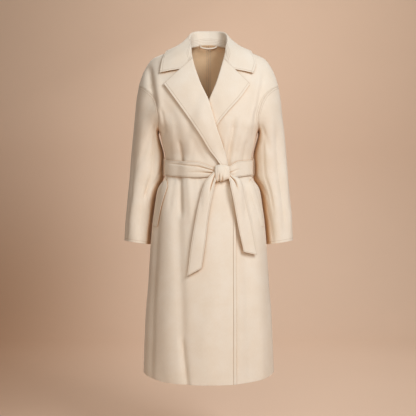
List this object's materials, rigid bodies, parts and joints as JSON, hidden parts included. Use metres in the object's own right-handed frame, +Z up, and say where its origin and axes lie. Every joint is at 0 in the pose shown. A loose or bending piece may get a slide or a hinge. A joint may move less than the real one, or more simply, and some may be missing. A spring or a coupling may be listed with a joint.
{
  "type": "wrap coat",
  "caption": "Long belted wrap coat, hollow as it is worn, with a notched collar, wide turned-back lapels, dropped sleeves and a tie belt with hanging ends.",
  "frame": {"origin": "midway between the points where the shoulders meet the neck, where a hanger or a wearer holds the coat", "axes": "+Z up along the coat's length, -Y the front that wraps over, +X the wearer's left"},
  "size_m": [0.5894, 0.3398, 1.1989],
  "materials": {
    "wool": "soft double-faced wool with a short nap, the same on both faces",
    "hanger_tape": "smooth rolled strip of the same cloth"
  },
  "bodies": {
    "root": {"front_right": "wool", "front_left": "wool", "back_right": "wool", "back_left": "wool", "sleeve_right": "wool", "sleeve_left": "wool", "lapel_right": "wool", "lapel_left": "wool", "collar": "wool", "belt_waist": "wool", "belt_knot": "wool", "belt_tail_right": "wool", "belt_tail_left": "wool", "belt_loop_right": "wool", "belt_loop_left": "wool", "pocket_welt_right": "wool", "pocket_welt_left": "wool", "hanger_loop": "hanger_tape"}
  },
  "joints": []
}
